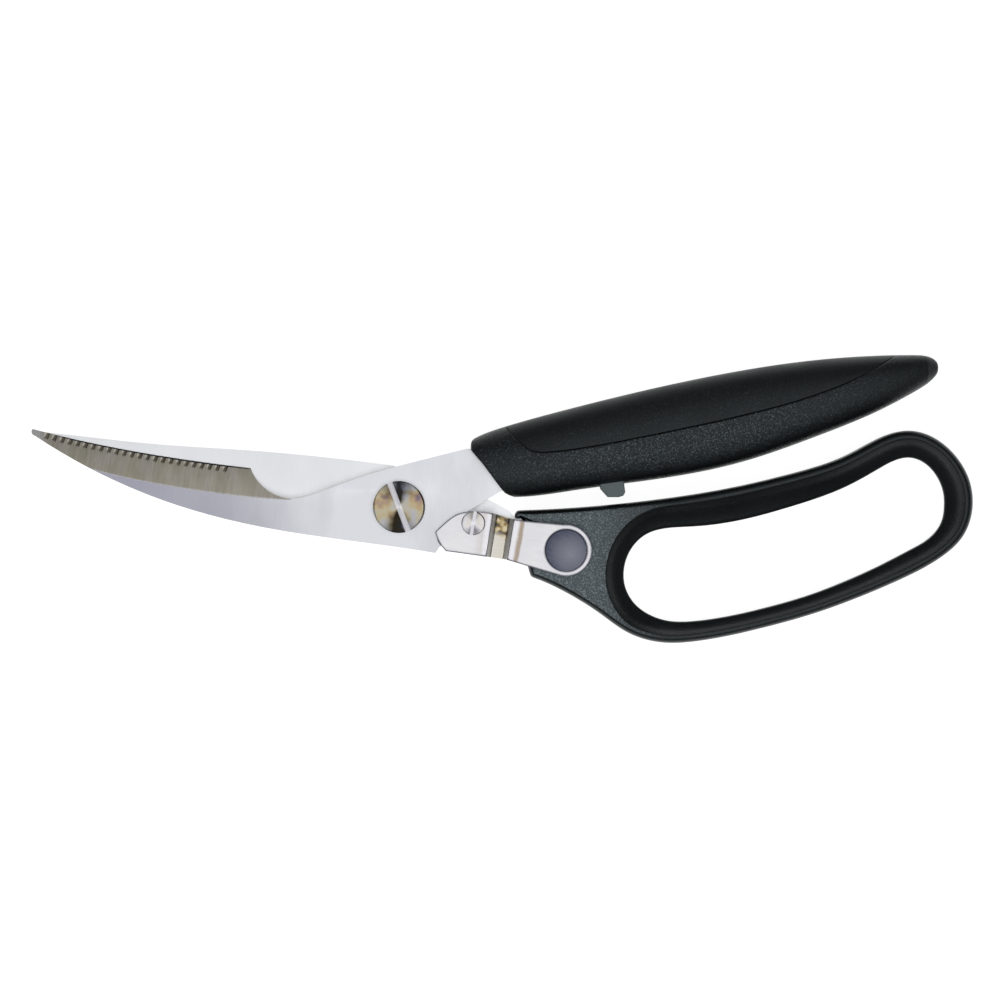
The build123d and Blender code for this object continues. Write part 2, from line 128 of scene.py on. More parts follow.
# ---------------------------------------------------------------- reading the CAD outlines
def slice_loops(node, point, normal):
    """Closed loops where a plane cuts a CAD node, longest first."""
    bm = bmesh.new()
    bm.from_mesh(nodes[node].data)
    bmesh.ops.remove_doubles(bm, verts=bm.verts, dist=1e-6)
    geometry = bm.verts[:] + bm.edges[:] + bm.faces[:]
    cut = bmesh.ops.bisect_plane(bm, geom=geometry, plane_co=point, plane_no=normal, dist=1e-7,
                                 clear_inner=True, clear_outer=True)
    edges = [item for item in cut["geom_cut"] if isinstance(item, bmesh.types.BMEdge)]
    neighbours = {}
    for edge in edges:
        first, second = edge.verts
        neighbours.setdefault(first, []).append(second)
        neighbours.setdefault(second, []).append(first)
    loops = []
    while neighbours:
        here = next(iter(neighbours))
        loop = []
        while here is not None:
            loop.append(here.co[:])
            onward = [vert for vert in neighbours.pop(here) if vert in neighbours]
            here = onward[0] if onward else None
        loops.append(np.array(loop))
    bm.free()
    return sorted(loops, key=perimeter, reverse=True)


def perimeter(loop):
    return np.linalg.norm(np.roll(loop, -1, 0) - loop, axis=1).sum()


def resample(loop, count):
    """Evenly spaced points round a closed loop, anticlockwise, starting at the largest X."""
    x, y = loop[:, 0], loop[:, 1]
    area = (x * np.roll(y, -1) - np.roll(x, -1) * y).sum()
    loop = loop if area > 0 else loop[::-1]
    loop = np.roll(loop, -int(loop[:, 0].argmax()), 0)
    closed = np.vstack([loop, loop[:1]])
    along = np.concatenate([[0], np.linalg.norm(np.diff(closed, axis=0), axis=1).cumsum()])
    at = np.linspace(0, along[-1], count, endpoint=False)
    return np.stack([np.interp(at, along, closed[:, axis]) for axis in (0, 1)], 1)


def smooth_ring(values, width):
    """Gaussian average round a closed ring; width is in steps."""
    reach = int(3 * width) + 1
    offsets = np.arange(-reach, reach + 1)
    weights = np.exp(-0.5 * (offsets / width) ** 2)
    weights /= weights.sum()
    return sum(w * np.roll(values, k, 0) for k, w in zip(offsets, weights))


def inward(loop):
    """Unit normals that point into an anticlockwise loop."""
    along = np.roll(loop, -1, 0) - np.roll(loop, 1, 0)
    along /= np.linalg.norm(along, axis=1)[:, None]
    return np.stack([-along[:, 1], along[:, 0]], 1)


# ---------------------------------------------------------------- mesh helpers
def make_piece(name, verts, faces, replaced, body=None):
    """Closed smooth mesh that stands for a CAD node."""
    mesh = bpy.data.meshes.new(name)
    mesh.from_pydata([tuple(v) for v in verts], [], faces)
    bm = bmesh.new()
    bm.from_mesh(mesh)
    bmesh.ops.remove_doubles(bm, verts=bm.verts, dist=1e-7)
    bmesh.ops.dissolve_degenerate(bm, edges=bm.edges, dist=1e-7)
    bmesh.ops.recalc_face_normals(bm, faces=bm.faces)
    bm.to_mesh(mesh)
    bm.free()
    mesh.shade_smooth()
    mesh.set_sharp_from_angle(angle=sharp_angle)
    piece = bpy.data.objects.new(name, mesh)
    bpy.context.scene.collection.objects.link(piece)
    if body:
        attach(piece, body)
    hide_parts(replaced)
    return piece


def ring_faces(rows, columns, close_rows):
    """Quads between rings of points; each ring is closed."""
    faces = []
    for row in range(rows if close_rows else rows - 1):
        after = (row + 1) % rows
        for column in range(columns):
            beside = (column + 1) % columns
            faces.append((row * columns + column, row * columns + beside,
                          after * columns + beside, after * columns + column))
    return faces


# ---------------------------------------------------------------- loop handle
def loop_rings():
    """Outer outline and the matching points of the finger opening."""
    loops = slice_loops("loop_handle", (0, 0, loop_slice), (0, 0, 1))
    outer = smooth_ring(resample(loops[0], loop_stations), 1.0)
    opening = smooth_ring(resample(loops[1], 4 * loop_stations), 4.0)
    gaps = np.linalg.norm(outer[:, None] - opening[None], axis=2)
    nearest = gaps.argmin(1).astype(float)
    turns = np.unwrap(nearest, period=len(opening))
    rising = np.maximum.accumulate(turns)
    falling = np.minimum.accumulate(turns[::-1])[::-1]
    monotone = (rising + falling) / 2
    even = np.linspace(0, len(opening), loop_stations, endpoint=False)
    drift = smooth_ring(monotone - even, 7.0)
    place = (even + drift) % len(opening)
    ring = np.vstack([opening, opening[:1]])
    steps = np.arange(len(ring))
    inner = np.stack([np.interp(place, steps, ring[:, axis]) for axis in (0, 1)], 1)
    return outer, inner


def top_height(x, low, high):
    """A value that rises smoothly from low on the flat root to high in the arms."""
    share = np.clip((x - root_end) / root_rise, 0, 1)
    share = share * share * (3 - 2 * share)
    return low + (high - low) * share


def loop_handle():
    """Moulded loop: rounded crest outside, crisp edge and slope round the opening."""
    outer, inner = loop_rings()
    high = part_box("loop_handle")[1]
    middle = high.z / 2
    width = np.linalg.norm(outer - inner, axis=1)
    into = smooth_ring(inward(outer), 1.5)
    across = (inner - outer) / width[:, None]
    back = smooth_ring(-across, 1.5)
    turning = np.linalg.norm(np.roll(into, -1, 0) - np.roll(into, 1, 0), axis=1)
    steps = np.linalg.norm(np.roll(outer, -1, 0) - np.roll(outer, 1, 0), axis=1)
    bend = smooth_ring(turning / steps, 2.0)
    crest = np.minimum(crest_inset, 0.30 * width) / (1 + (1.1 * crest_inset * bend) ** 2)
    crest = smooth_ring(crest, 3.0)
    top = top_height(outer[:, 0], root_top, high.z)
    arm = top_height(inner[:, 0], 0.0, 1.0)
    most = root_band + (arm_band - root_band) * arm
    band = smooth_ring(np.clip(width - crest - crest_land, least_band, most), 5.0)
    depth = np.minimum(top - middle - least_wall, steepest * band)
    columns = []

    def add(points, height):
        columns.append(np.column_stack([points, np.broadcast_to(height, len(points))]))

    round_steps = 7
    for step in range(round_steps + 1):
        turn = step / round_steps * pi / 2
        inset = (crest * (1 - cos(turn)))[:, None]
        add(outer + into * inset, top - crest_drop * (1 - sin(turn)))
    ridge = inner + back * band[:, None]
    start = outer + into * crest[:, None]
    for share in (0.2, 0.4, 0.6, 0.8, 0.93):
        add(start + (ridge - start) * share, top)
    eased = 0.14
    for share in (0.0, 0.05, eased):
        drop = depth * max(0.0, share - eased / 3)
        add(inner + back * (band * (1 - share))[:, None], top - drop)
    for share in (0.3, 0.5, 0.7, 0.86, 0.95):
        drop = depth * (share + slope_sag * sin(pi * share))
        add(inner + back * (band * (1 - share))[:, None], top - drop)
    add(inner + back * 0.05 * MM, top - depth - 0.15 * MM)
    add(inner, top - depth - 0.5 * MM)
    upper = np.stack(columns, 1)
    lower = upper[:, ::-1].copy()
    lower[:, :, 2] = (top[:, None] - lower[:, :, 2]) * (middle / (top - middle))[:, None]
    section = np.concatenate([upper, lower], 1)
    count = section.shape[1]
    verts = section.reshape(-1, 3)
    return make_piece("loop_handle_moulding", verts, ring_faces(loop_stations, count, True),
                      "loop_handle", "rear_half")


# ---------------------------------------------------------------- bar handle
def bar_outlines():
    """Outlines of the bar handle and of its palm insert, read at one height."""
    point = (0, 0, bar_slice)
    body = slice_loops("bar_handle", point, (0, 0, 1))[0]
    insert = slice_loops("bar_grip", point, (0, 0, 1))[0]
    return body, insert


def extent(loops, x, lowest):
    """Lowest or highest Y at which a line of constant X crosses the loops."""
    best = None
    for loop in loops:
        after = np.roll(loop, -1, 0)
        crosses = (loop[:, 0] - x) * (after[:, 0] - x) <= 0
        for here, there in zip(loop[crosses], after[crosses]):
            run = there[0] - here[0]
            share = 0.5 if abs(run) < 1e-9 else (x - here[0]) / run
            y = here[1] + share * (there[1] - here[1])
            if best is None or (y < best) == lowest:
                best = y
    return best


def half_thickness(x):
    """Half the bar handle's thickness at one X."""
    heights = []
    for node in ("bar_handle", "bar_grip"):
        for loop in slice_loops(node, (x, 0, 0), (1, 0, 0)):
            heights.append(loop[:, 2].max())
    return max(heights) - bar_middle


def bar_grid():
    """Lower and upper end of each station along the bar, and half its thickness there."""
    body, insert = bar_outlines()
    low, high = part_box("bar_handle")
    front_low = Vector(body[body[:, 1].argmin()])
    head = np.linspace(0, front_share, 70, endpoint=False)
    rest = front_share + (1 - front_share) * np.sin(np.linspace(0, pi / 2, 190))
    along = np.concatenate([head, rest])
    reach = high.x - 0.02 * MM
    lower_x = front_low.x + (reach - front_low.x) * along
    slant = np.clip(1 - along / slant_share, 0, 1)
    upper_x = lower_x + (low.x + 0.01 * MM - front_low.x) * slant * slant * (3 - 2 * slant)
    lower_y = np.array([extent([body], x, True) for x in lower_x])
    pocket_low, pocket_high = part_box("handle_bumper")
    clear = (lower_x < pocket_low.x - 0.5 * MM) | (lower_x > pocket_high.x + 0.5 * MM)
    lower_y = np.interp(lower_x, lower_x[clear], lower_y[clear])
    upper_y = np.array([extent([body, insert], x, False) for x in upper_x])
    known = np.linspace(low.x + 1 * MM, reach, 44)
    thick = np.array([half_thickness(x) for x in known])
    half = np.interp((lower_x + upper_x) / 2, known, thick)
    lower = np.column_stack([lower_x, lower_y])
    upper = np.column_stack([upper_x, upper_y])
    return body, insert, along, lower, upper, half


def front_bulge(body, lower, upper):
    """How far the slanted front end stands off a straight line, at shares of its length."""
    run = upper - lower
    shares = np.linspace(0, 1, 41)
    offsets = []
    after = np.roll(body, -1, 0)
    for share in shares:
        y = lower[1] + run[1] * share
        crosses = (body[:, 1] - y) * (after[:, 1] - y) < 0
        here, there = body[crosses], after[crosses]
        blend = (y - here[:, 1]) / (there[:, 1] - here[:, 1])
        hits = here[:, 0] + blend * (there[:, 0] - here[:, 0])
        straight = lower[0] + run[0] * share
        offsets.append(hits.min() - straight if len(hits) else 0.0)
    offsets = np.array(offsets)
    offsets[0] = 0
    from_end = np.clip((1 - shares) * np.linalg.norm(run) / corner_radius, 0, 1)
    offsets += corner_radius * (1 - np.sqrt(1 - (1 - from_end) ** 2))
    return shares, np.convolve(np.pad(offsets, 1, mode="edge"), [0.25, 0.5, 0.25], "valid")


def bar_sections():
    """The stations, with the share of each at which the two plastics part, and the front end's bulge."""
    body, insert, along, lower, upper, half = bar_grid()
    edge = insert[:, :2]
    part = np.ones(len(along))
    for row in range(len(along)):
        run = upper[row] - lower[row]
        length = np.linalg.norm(run)
        side = np.array([-run[1], run[0]]) / length
        offset = (edge - lower[row]) @ side
        share = (edge - lower[row]) @ run / length ** 2
        after_offset, after_share = np.roll(offset, -1), np.roll(share, -1)
        crosses = offset * after_offset < 0
        if crosses.any():
            blend = offset[crosses] / (offset[crosses] - after_offset[crosses])
            hits = share[crosses] + blend * (after_share[crosses] - share[crosses])
            part[row] = min(hits.min(), 1.0)
    bulge = front_bulge(body, lower[0], upper[0])
    fade = np.clip(1 - along / bulge_share, 0, 1) ** 2
    return lower, upper, half, along, part, bulge, fade


def section_height(share, half):
    """Half-thickness across the bar: fuller than an ellipse, with its crest in the middle."""
    return half * max(0.0, 1 - abs(2 * share - 1) ** bar_fullness) ** (1 / bar_fullness)


def lip_drop(share, begin, end, length):
    """How far the rounding at a parting line takes the surface down."""
    total = 0.0
    for lip, active in ((begin, begin > 0.001), (end, end < 0.999)):
        gap = abs(share - lip) * length
        if active and gap < lip_radius:
            total += lip_radius - sqrt(max(lip_radius ** 2 - (lip_radius - gap) ** 2, 0.0))
    return total


def bar_piece(name, rows, first, last, replaced, inset):
    """Part of the bar between two shares of its section, with a rounded lip at each parting."""
    lower, upper, half, bulge, fade = rows
    count = len(half)
    verts = []
    for row in range(count):
        run = upper[row] - lower[row]
        length = max(np.linalg.norm(run), 1e-5)
        begin, end = first[row], last[row]
        shares = begin + (end - begin) * (0.5 - 0.5 * np.cos(np.linspace(0, pi, bar_steps)))
        edge_shares = np.array([0.0, 0.15, 0.45, 1.0]) * lip_radius / length
        shares = np.concatenate([shares, begin + edge_shares, end - edge_shares])
        shares = np.unique(np.clip(shares, begin, end))
        shares = np.interp(np.linspace(0, 1, bar_steps + 6), np.linspace(0, 1, len(shares)), shares)
        top = []
        for share in shares:
            height = max(section_height(share, half[row]) - inset, 0.0)
            height -= min(lip_drop(share, begin, end, length), 0.5 * height)
            place = lower[row] + run * share
            place[0] += np.interp(share, *bulge) * fade[row]
            top.append((place[0], place[1], height))
        verts += [(x, y, bar_middle + height) for x, y, height in top]
        verts += [(x, y, bar_middle - height) for x, y, height in reversed(top)]
    columns = len(verts) // count
    faces = ring_faces(count, columns, False)
    faces.append(tuple(range(columns))[::-1])
    faces.append(tuple(range((count - 1) * columns, count * columns)))
    return make_piece(name, verts, faces, replaced, "front_half")


def bar_handle():
    """Handle moulded round the front tang, parted from the smoother palm insert."""
    lower, upper, half, along, part, bulge, fade = bar_sections()
    centre = (lower + upper) / 2
    length = lower[-1][0] - lower[0][0]
    lip = np.clip(1 - along * length / front_lip, 0, 1)
    tail = np.clip(1 - (1 - along) * length / front_lip, 0, 1)
    lip = np.maximum(lip, tail)
    shrink = (1 - np.sqrt(1 - lip ** 2 * 0.999)) * front_lip
    scale = 1 - shrink / np.maximum(np.linalg.norm(upper - lower, axis=1) / 2, 1e-5)
    lower = centre + (lower - centre) * scale[:, None]
    upper = centre + (upper - centre) * scale[:, None]
    half = np.maximum(half - shrink, 0.05 * MM)
    bar_piece("bar_handle_moulding", (lower, upper, half, bulge, fade), np.zeros(len(part)), part,
              "bar_handle", 0.0)
    inside = np.where(part < 0.995)[0]
    rows = slice(inside[0] - 1, inside[-1] + 2)
    start = np.minimum(part[rows], insert_start)
    bar_piece("bar_grip_insert", (lower[rows], upper[rows], half[rows], bulge, fade[rows]), start,
              np.full(len(start), insert_end), "bar_grip", insert_inset)


# ---------------------------------------------------------------- opening spring
def opening_spring():
    """Torsion coil with a straight leg into each blade."""
    low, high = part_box("opening_spring")
    pivot_low, pivot_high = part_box("pivot_screw")
    centre = (pivot_low + pivot_high) / 2
    radius = (high.x - low.x) / 2 - spring_wire
    rise = spring_turns * spring_pitch
    coil_start = low.z + spring_leg
    turns = np.linspace(0, 2 * pi * spring_turns, 150)
    path = [Vector((centre.x + radius, centre.y, low.z))]
    for turn in turns:
        path.append(Vector((centre.x + radius * cos(turn), centre.y + radius * sin(turn),
                            coil_start + rise * turn / turns[-1])))
    path.append(Vector((centre.x - radius, centre.y, high.z)))
    verts = []
    sides = 14
    side_out = Vector((1, 0, 0))
    for index, point in enumerate(path):
        ahead = path[min(index + 1, len(path) - 1)] - path[max(index - 1, 0)]
        ahead.normalize()
        side_out = (side_out - ahead * side_out.dot(ahead)).normalized()
        other = ahead.cross(side_out)
        for side in range(sides):
            turn = 2 * pi * side / sides
            verts.append(point + (side_out * cos(turn) + other * sin(turn)) * spring_wire)
    faces = ring_faces(len(path), sides, False)
    faces.append(tuple(range(sides))[::-1])
    faces.append(tuple(range(len(verts) - sides, len(verts))))
    piece = make_piece("opening_spring_coil", verts, faces, "opening_spring")
    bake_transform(piece)


# ---------------------------------------------------------------- material helpers
class Material:
    """A Principled material with a few short ways to add nodes."""

    def __init__(self, name, values):
        self.material = bpy.data.materials.new(name)
        self.material.use_nodes = True
        self.tree = self.material.node_tree
        self.shader = self.tree.nodes["Principled BSDF"]
        for socket, value in values.items():
            self.shader.inputs[socket].default_value = value
        self.coordinates = self.tree.nodes.new("ShaderNodeTexCoord")
        self.place = self.coordinates.outputs["Object"]

    def link(self, source, target):
        self.tree.links.new(source, target)

    def math(self, operation, first, second=0.0):
        node = self.tree.nodes.new("ShaderNodeMath")
        node.operation = operation
        for socket, value in zip(node.inputs, (first, second)):
            self.put(value, socket)
        return node.outputs[0]

    def times(self, first, *others):
        for other in others:
            first = self.math("MULTIPLY", first, other)
        return first

    def radius(self, x, y):
        squared = self.math("ADD", self.times(x, x), self.times(y, y))
        return self.math("SQRT", squared)

    def put(self, value, socket):
        if isinstance(value, bpy.types.NodeSocket):
            self.link(value, socket)
        else:
            socket.default_value = value

    def shifted(self, centre=(0, 0, 0), scale=(1, 1, 1), turn=0.0):
        node = self.tree.nodes.new("ShaderNodeMapping")
        node.vector_type = "TEXTURE"
        self.link(self.place, node.inputs["Vector"])
        node.inputs["Location"].default_value = centre
        node.inputs["Rotation"].default_value = (0, 0, turn)
        node.inputs["Scale"].default_value = [1 / value for value in scale]
        return node.outputs[0]

    def noise(self, scale, vector=None, detail=2.0, roughness=0.5):
        node = self.tree.nodes.new("ShaderNodeTexNoise")
        self.link(vector or self.place, node.inputs["Vector"])
        node.inputs["Scale"].default_value = scale
        node.inputs["Detail"].default_value = detail
        node.inputs["Roughness"].default_value = roughness
        return node.outputs["Fac"]

    def split(self, vector):
        node = self.tree.nodes.new("ShaderNodeSeparateXYZ")
        self.link(vector, node.inputs[0])
        return node.outputs

    def ramp(self, value, stops):
        node = self.tree.nodes.new("ShaderNodeValToRGB")
        elements = node.color_ramp.elements
        while len(elements) < len(stops):
            elements.new(0.5)
        for element, (position, colour) in zip(elements, stops):
            element.position = position
            element.color = (*colour, 1)
        self.link(value, node.inputs[0])
        return node.outputs[0]

    def spread(self, value, from_low, from_high, to_low, to_high):
        node = self.tree.nodes.new("ShaderNodeMapRange")
        for socket, item in zip(node.inputs, (value, from_low, from_high, to_low, to_high)):
            self.put(item, socket)
        return node.outputs[0]

    def mix(self, factor, first, second, kind="MIX"):
        """Blends two colours; inputs 6 and 7 are the node's colour sockets A and B."""
        node = self.tree.nodes.new("ShaderNodeMix")
        node.data_type = "RGBA"
        node.blend_type = kind
        self.put(factor, node.inputs["Factor"])
        self.put(first, node.inputs[6])
        self.put(second, node.inputs[7])
        return node.outputs[2]

    def bump(self, height, strength, distance):
        node = self.tree.nodes.new("ShaderNodeBump")
        node.inputs["Strength"].default_value = strength
        node.inputs["Distance"].default_value = distance
        self.link(height, node.inputs["Height"])
        self.link(node.outputs[0], self.shader.inputs["Normal"])

    def near_edge(self, reach):
        """1 close to a sharp edge, 0 on open faces."""
        rounded = self.tree.nodes.new("ShaderNodeBevel")
        rounded.samples = 8
        rounded.inputs["Radius"].default_value = reach
        face = self.tree.nodes.new("ShaderNodeNewGeometry")
        agree = self.tree.nodes.new("ShaderNodeVectorMath")
        agree.operation = "DOT_PRODUCT"
        self.link(rounded.outputs[0], agree.inputs[0])
        self.link(face.outputs["True Normal"], agree.inputs[1])
        return self.spread(agree.outputs["Value"], 0.90, 0.992, 1.0, 0.0)

    def finish(self, colour, roughness=None):
        self.link(colour, self.shader.inputs["Base Color"])
        if roughness is not None:
            self.link(roughness, self.shader.inputs["Roughness"])
        return self.material


# ---------------------------------------------------------------- materials
def moulded_plastic(name, dark, light, grain, strength, roughness, sheen=0.5, root=None):
    """Moulded plastic with a spark-eroded grain, painted highlights on the grain's tops and, given root
    colours, painted glare on a flat root.
    """
    made = Material(name, {"Metallic": 0.0, "IOR": 1.47, "Specular IOR Level": sheen})
    made.shader.inputs["Specular Tint"].default_value = (0.84, 0.96, 1.0, 1)
    coarse = made.noise(1 / grain, detail=3.0, roughness=0.7)
    broad = made.noise(90, detail=2.0)
    normal_z = made.split(made.coordinates.outputs["Normal"])[2]
    # painted highlight on the grain: specks take the light colour where the surface faces up, stands high
    # and lies along the handle's middle
    facing_up = made.spread(normal_z, 0.62, 0.99, 0.05, 1.0)
    x, _, z = made.split(made.place)
    lit = made.spread(z, shaded_height, lit_height, 0.08, 1.0)
    rear = made.spread(x, *rear_fade, 1.0, 0.22)
    front = made.spread(x, *front_fade, 0.45, 1.0)
    grain_highlight = made.times(made.spread(coarse, 0.52, 0.68, 0.0, 1.0), facing_up, lit, rear, front)
    colour = made.mix(grain_highlight, (*dark, 1), (*light, 1))
    if root:
        # painted glare: where the loop's root is flat and faces up, its grain is coloured paler
        painted_glare = made.mix(made.spread(coarse, 0.50, 0.66, 0.0, 1.0), (*root[0], 1), (*root[1], 1))
        flat = made.spread(normal_z, 0.90, 0.98, 0.0, 1.0)
        share = made.times(made.spread(x, *root_fade, 1.0, 0.0), flat)
        colour = made.mix(share, colour, painted_glare)
    rough = made.spread(broad, 0.3, 0.7, roughness - 0.04, roughness + 0.05)
    made.bump(coarse, strength, 0.20 * MM)
    return made.finish(colour, rough)


def edge_curve():
    """Quadratic that follows the serrated edge: Y for X."""
    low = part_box("front_blade")[0]
    outline = slice_loops("front_blade", (0, 0, low.z + 0.1 * MM), (0, 0, 1))[0]
    known = np.linspace(edge_first, edge_last, 25)
    heights = [extent([outline], x, False) for x in known]
    return np.polyfit(known, heights, 2)


def serrations(made, colour, x, inset):
    """Painted shade in each groove on one side and a painted highlight lobe on the other."""
    at_edge = made.math("ADD", x, made.times(inset, tan(serration_lean)))
    cycles = made.math("DIVIDE", made.math("SUBTRACT", at_edge, first_serration), serration_pitch)
    phase = made.math("SUBTRACT", made.math("FRACT", made.math("ADD", cycles, 0.5)), 0.5)
    last = first_serration + (serration_count - 0.5) * serration_pitch
    before_end = made.spread(at_edge, last - 0.05 * MM, last + 0.05 * MM, 1.0, 0.0)
    after_start = made.spread(at_edge, first_serration - 1.2 * MM, first_serration - 1.0 * MM, 0.0, 1.0)
    inside = made.times(before_end, after_start,
                        made.spread(inset, serration_solid, serration_reach, 1.0, 0.0))
    groove_shade = made.times(made.spread(phase, -0.22, -0.10, 0.0, 1.0), made.spread(phase, 0.20, 0.30, 1.0, 0.0))
    # painted shade: dark brown over the groove's shaded side and round end
    colour = made.mix(made.times(groove_shade, inside, 0.80), colour, (0.170, 0.140, 0.100, 1))
    # painted highlight: a pale lobe on the groove's lit side
    lobe = made.times(made.spread(phase, -0.46, -0.36, 0.0, 1.0), made.spread(phase, -0.24, -0.14, 1.0, 0.0),
                      made.spread(inset, 0.7 * MM, 1.4 * MM, 1.0, 0.0), inside)
    return made.mix(lobe, colour, (1.0, 0.97, 0.84, 1)), lobe


def ground_edge(made, colour, flat):
    """Serrations, a painted highlight at the blade's point, a painted highlight line where bevel meets flat
    and a painted shadow line along the edge.
    """
    x, y, z = made.split(made.place)
    square, slope, start = edge_curve()
    curve = made.math("ADD", made.times(x, float(square)), float(slope))
    edge_y = made.math("ADD", made.times(curve, x), float(start))
    inset = made.math("SUBTRACT", edge_y, y)
    colour, lobe = serrations(made, colour, x, inset)
    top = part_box("front_blade")[1].z
    on_bevel = made.spread(flat, 0.0, 1.0, 1.0, 0.0)
    # painted highlight: a pale line on the bevel just under the flat
    boundary_highlight = made.times(made.spread(z, top - 0.14 * MM, top - 0.05 * MM, 0.0, 0.7), on_bevel)
    colour = made.mix(boundary_highlight, colour, (0.95, 0.95, 0.98, 1))
    matt = made.math("MAXIMUM", made.times(lobe, 0.55), boundary_highlight)
    made.link(made.spread(matt, 0.0, 1.0, 1.0, 0.15), made.shader.inputs["Metallic"])
    # painted highlight at the blade's point
    tip = made.spread(x, tip_point, tip_start, 0.9, 0.0)
    colour = made.mix(tip, colour, (1.0, 0.99, 0.98, 1))
    # painted shadow: a dark line along the cutting edge
    line = made.times(made.spread(inset, 0.26 * MM, 0.44 * MM, 1.0, 0.0),
                      made.spread(x, *line_start, 0.0, 1.0),
                      made.spread(x, *line_end, 1.0, 0.0), on_bevel)
    return made.mix(line, colour, (0.050, 0.050, 0.062, 1))


def blade_steel(name, with_bevel):
    """Ground stainless blade: satin flats, on the front blade with a painted reflection that grows paler
    along X, and a warmer, coarser ground bevel.
    """
    made = Material(name, {"Metallic": 1.0, "Anisotropic": 0.35})
    x = made.split(made.place)[0]
    normal_z = made.split(made.coordinates.outputs["Normal"])[2]
    flat = made.spread(normal_z, 0.955, 0.985, 0.0, 1.0)
    patch = made.noise(1, made.shifted(scale=(70, 35, 35)), detail=3.0)
    # painted reflection: the front blade's flat runs from lavender grey to pale along X
    along = made.spread(x, *reflection_fade, 0.0, 1.0)
    along = made.math("ADD", along, made.spread(patch, 0.3, 0.7, -0.16, 0.16))
    satin = made.ramp(along, [(0.0, (0.340, 0.340, 0.410)), (0.45, (0.400, 0.402, 0.455)),
                              (1.0, (0.700, 0.712, 0.748))])
    lines = made.noise(1, made.shifted(scale=(2600, 160, 160), turn=radians(-8)), detail=4.0)
    mottled = made.noise(1, made.shifted(scale=(260, 140, 140)), detail=3.0)
    ground = made.ramp(mottled, [(0.3, (0.600, 0.560, 0.450)), (0.7, (0.700, 0.660, 0.590))])
    if not with_bevel:
        satin = made.ramp(patch, [(0.3, (0.735, 0.752, 0.778)), (0.7, (0.785, 0.797, 0.818))])
        ground = made.ramp(mottled, [(0.3, (0.42, 0.42, 0.42)), (0.7, (0.50, 0.50, 0.50))])
    colour = made.mix(flat, ground, satin)
    if with_bevel:
        colour = ground_edge(made, colour, flat)
    strength = made.spread(flat, 0.0, 1.0, 0.13, 0.045)
    streak = made.math("ADD", made.times(made.spread(lines, 0.25, 0.75, -1.0, 1.0), strength), 1.0)
    colour = made.mix(1.0, colour, streak, "MULTIPLY")
    rough = made.math("ADD", made.spread(lines, 0.25, 0.75, 0.27, 0.38),
                      made.spread(flat, 0.0, 1.0, 0.20, 0.0))
    made.bump(lines, 0.12, 0.02 * MM)
    return made.finish(colour, rough)


def turned_steel(name, node, reflection_tint_stops, ring_pitch, roughness, slot_depth, sector_shade):
    """Lathe-turned head: fine rings about its own axis, painted reflections in patches of colour, and
    painted highlights to the sides with painted shade above and below.
    """
    low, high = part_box(node)
    centre = (low + high) / 2
    made = Material(name, {"Metallic": 1.0, "Anisotropic": 0.75, "Roughness": roughness})
    x, y, _ = made.split(made.shifted(centre=(centre.x, centre.y, 0)))
    radius = made.radius(x, y)
    rings = made.math("SINE", made.times(radius, 2 * pi / ring_pitch))
    tint = made.noise(1, made.shifted(centre=(centre.x, centre.y, 0), scale=(230, 230, 60)), detail=2.5)
    colour = made.ramp(tint, reflection_tint_stops)
    # painted highlight and shade: pale to each side of the axis, darker above and below it
    sector = made.math("DIVIDE", made.math("ABSOLUTE", x), made.math("MAXIMUM", radius, 0.1 * MM))
    wavy = made.math("ADD", sector, made.spread(tint, 0.3, 0.7, -0.20, 0.20))
    colour = made.mix(1.0, colour, made.spread(wavy, 0.25, 0.80, sector_shade, 1.25), "MULTIPLY")
    colour = made.mix(1.0, colour, made.spread(rings, -1.0, 1.0, 0.90, 1.07), "MULTIPLY")
    height = made.split(made.place)[2]
    slot_floor = high.z - slot_depth
    milled = made.spread(height, slot_floor - 0.05 * MM, slot_floor + 0.10 * MM, 1.0, 0.0)
    colour = made.mix(milled, colour, (0.86, 0.86, 0.92, 1))
    made.bump(rings, 0.10, 0.02 * MM)
    tangent = made.tree.nodes.new("ShaderNodeTangent")
    tangent.direction_type = "RADIAL"
    tangent.axis = "Z"
    made.link(tangent.outputs[0], made.shader.inputs["Tangent"])
    return made.finish(colour)


def brushed_pad():
    """Dark pad brushed across, with a painted sheen that makes it paler toward the middle."""
    low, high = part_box("thumb_button")
    centre = (low + high) / 2
    made = Material("thumb_pad_steel", {"Metallic": 0.85})
    lines = made.noise(1, made.shifted(scale=(3000, 420, 420), turn=radians(50)), detail=4.0)
    x, y, _ = made.split(made.shifted(centre=(centre.x + 1.2 * MM, centre.y - 1.0 * MM, 0)))
    wavy = made.math("ADD", made.radius(x, y), made.spread(lines, 0.3, 0.7, -1.0 * MM, 1.0 * MM))
    # painted sheen: paler round a point right of and below the pad's centre, darker toward its rim
    share = made.spread(wavy, 0.0, 6.5 * MM, 0.0, 1.0)
    colour = made.ramp(share, [(0.0, (0.235, 0.245, 0.290)), (0.55, (0.165, 0.175, 0.220)),
                               (1.0, (0.075, 0.082, 0.125))])
    colour = made.mix(1.0, colour, made.spread(lines, 0.3, 0.7, 0.78, 1.20), "MULTIPLY")
    made.bump(lines, 0.15, 0.02 * MM)
    return made.finish(colour, made.spread(lines, 0.3, 0.7, 0.36, 0.48))


